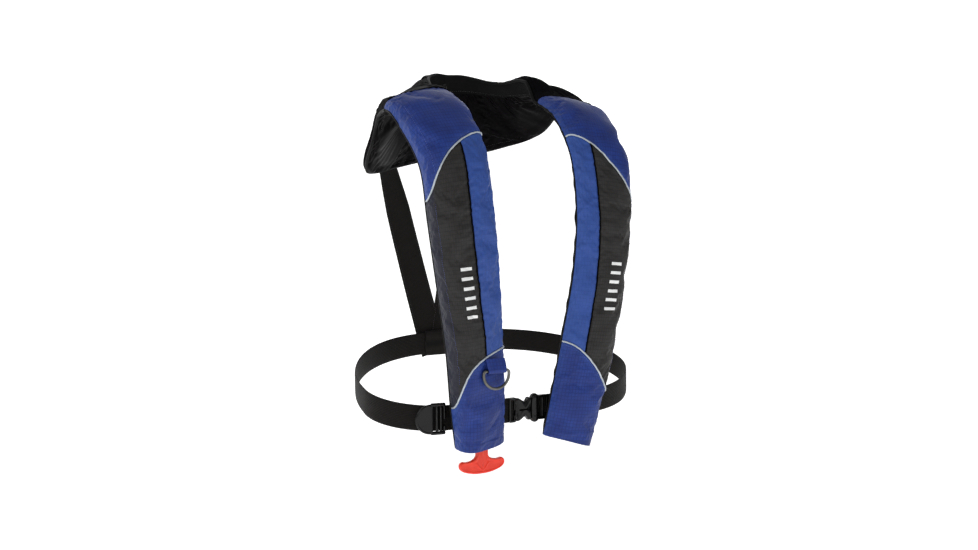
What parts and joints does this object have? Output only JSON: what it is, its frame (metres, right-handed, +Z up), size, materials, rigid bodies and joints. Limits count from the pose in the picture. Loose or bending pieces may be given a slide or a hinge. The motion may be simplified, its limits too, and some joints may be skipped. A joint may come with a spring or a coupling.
{
  "type": "inflatable life jacket",
  "caption": "Horseshoe inflatable life jacket with two front lobes, a folded bladder and pull inflator inside, a back harness and a buckled waist belt.",
  "frame": {"origin": "between the shoulders at the height where the cover rests on them", "axes": "+X to the wearer's left, +Y to the wearer's back, +Z up"},
  "size_m": [0.4592, 0.3335, 0.5712],
  "materials": {
    "blue_cloth": "blue ripstop nylon with a soft sheen",
    "charcoal_cloth": "charcoal ripstop nylon",
    "dark_cloth": "black satin lining and binding",
    "silver_piping": "silver reflective piping",
    "bladder_film": "yellow coated bladder cloth",
    "webbing": "black woven webbing",
    "black_plastic": "black moulded acetal",
    "ring_metal": "grey steel wire",
    "inflator_white": "white moulded plastic",
    "zinc_steel": "zinc plated steel",
    "cap_yellow": "yellow moulded plastic",
    "red_plastic": "red moulded plastic",
    "red_cord": "red braided cord",
    "tube_yellow": "yellow flexible tube"
  },
  "bodies": {
    "cover": {"shoulder_panel_r": "blue_cloth", "shoulder_panel_l": "blue_cloth", "side_panel_r": "charcoal_cloth", "side_panel_l": "charcoal_cloth", "inner_strip_r": "blue_cloth", "inner_strip_l": "blue_cloth", "toe_panel_r": "blue_cloth", "toe_panel_l": "blue_cloth", "upper_piping_r": "silver_piping", "upper_piping_l": "silver_piping", "lower_piping_r": "silver_piping", "lower_piping_l": "silver_piping", "strip_piping_r": "dark_cloth", "strip_piping_l": "dark_cloth", "toe_cap_r": "dark_cloth", "toe_cap_l": "dark_cloth", "lining_r": "dark_cloth", "lining_l": "dark_cloth", "back_panel": "dark_cloth", "back_lining": "dark_cloth", "neck_band": "dark_cloth", "bladder_r": "bladder_film", "bladder_l": "bladder_film", "bladder_neck": "bladder_film", "strap_r": "webbing", "strap_l": "webbing", "belt_sleeve": "webbing", "keeper_r": "webbing", "keeper_l": "webbing", "belt_left": "webbing", "buckle_plug": "black_plastic", "ring_tab": "blue_cloth", "inflator_body": "inflator_white", "retaining_nut": "inflator_white", "bobbin": "inflator_white", "oral_tube": "tube_yellow", "valve_body": "black_plastic", "valve_spring": "zinc_steel"},
    "belt_run": {"belt_right": "webbing", "buckle_socket": "black_plastic"},
    "adjuster": {"adjuster": "black_plastic"},
    "prong_upper": {"prong_upper": "black_plastic"},
    "prong_lower": {"prong_lower": "black_plastic"},
    "ring": {"d_ring": "ring_metal"},
    "pull": {"pull_handle": "red_plastic", "lanyard": "red_cord"},
    "lever": {"lever": "red_plastic"},
    "pin": {"piercing_pin": "zinc_steel"},
    "gas": {"gas_cylinder": "zinc_steel"},
    "cap": {"bobbin_cap": "cap_yellow"},
    "poppet": {"valve_poppet": "red_plastic"},
    "dust_cap": {"dust_cap": "black_plastic"}
  },
  "joints": [
    {"name": "belt_release", "type": "slide", "parent": "cover", "child": "belt_run", "axis": [-1, 0, 0], "range_m": [0, 0.021]},
    {"name": "adjuster_tilt", "type": "hinge", "parent": "belt_run", "child": "adjuster", "pos_m": [-0.12216, -0.10375, -0.39035], "axis": [0, 0, 1], "range_deg": [0, 30]},
    {"name": "prong_upper_flex", "type": "hinge", "parent": "cover", "child": "prong_upper", "pos_m": [0.0224, -0.1, -0.383], "axis": [0, 1, 0], "range_deg": [-9, 0], "stiffness_Nm_per_rad": 0.02},
    {"name": "prong_lower_flex", "type": "hinge", "parent": "cover", "child": "prong_lower", "pos_m": [0.0224, -0.1, -0.399], "axis": [0, 1, 0], "range_deg": [0, 9], "stiffness_Nm_per_rad": 0.02},
    {"name": "ring_swing", "type": "hinge", "parent": "cover", "child": "ring", "pos_m": [-0.0711, -0.15851, -0.32124], "axis": [1, 0, 0], "range_deg": [-100, 0]},
    {"name": "handle_pull", "type": "slide", "parent": "cover", "child": "pull", "axis": [0, 0, -1], "range_m": [0, 0.014]},
    {"name": "lever_turn", "type": "hinge", "parent": "cover", "child": "lever", "pos_m": [-0.08987, -0.12681, -0.38974], "axis": [-0.0174, 0.9917, 0.1272], "range_deg": [0, 50]},
    {"name": "pin_travel", "type": "slide", "parent": "cover", "child": "pin", "axis": [-0.1341, -0.1283, 0.9826], "range_m": [0, 0.003]},
    {"name": "gas_unscrew", "type": "hinge", "parent": "cover", "child": "gas", "pos_m": [-0.09322, -0.13002, -0.36517], "axis": [-0.1341, -0.1283, 0.9826], "range_deg": [0, 360]},
    {"name": "cap_turn", "type": "hinge", "parent": "cover", "child": "cap", "pos_m": [-0.07514, -0.12912, -0.36971], "axis": [-0.9908, 0, -0.1353], "range_deg": [0, 90]},
    {"name": "poppet_press", "type": "slide", "parent": "cover", "child": "poppet", "axis": [-0.1341, 0.1283, -0.9826], "range_m": [0, 0.003], "stiffness_N_per_m": 150},
    {"name": "dust_cap_lift", "type": "slide", "parent": "cover", "child": "dust_cap", "axis": [0.1341, -0.1283, 0.9826], "range_m": [0, 0.018]}
  ],
  "couplings": [
    {"joint": "lever_turn", "follows": "handle_pull", "rad_per_m": 62.327},
    {"joint": "pin_travel", "follows": "handle_pull", "ratio": 0.21426},
    {"joint": "prong_lower_flex", "follows": "prong_upper_flex", "ratio": -1}
  ]
}
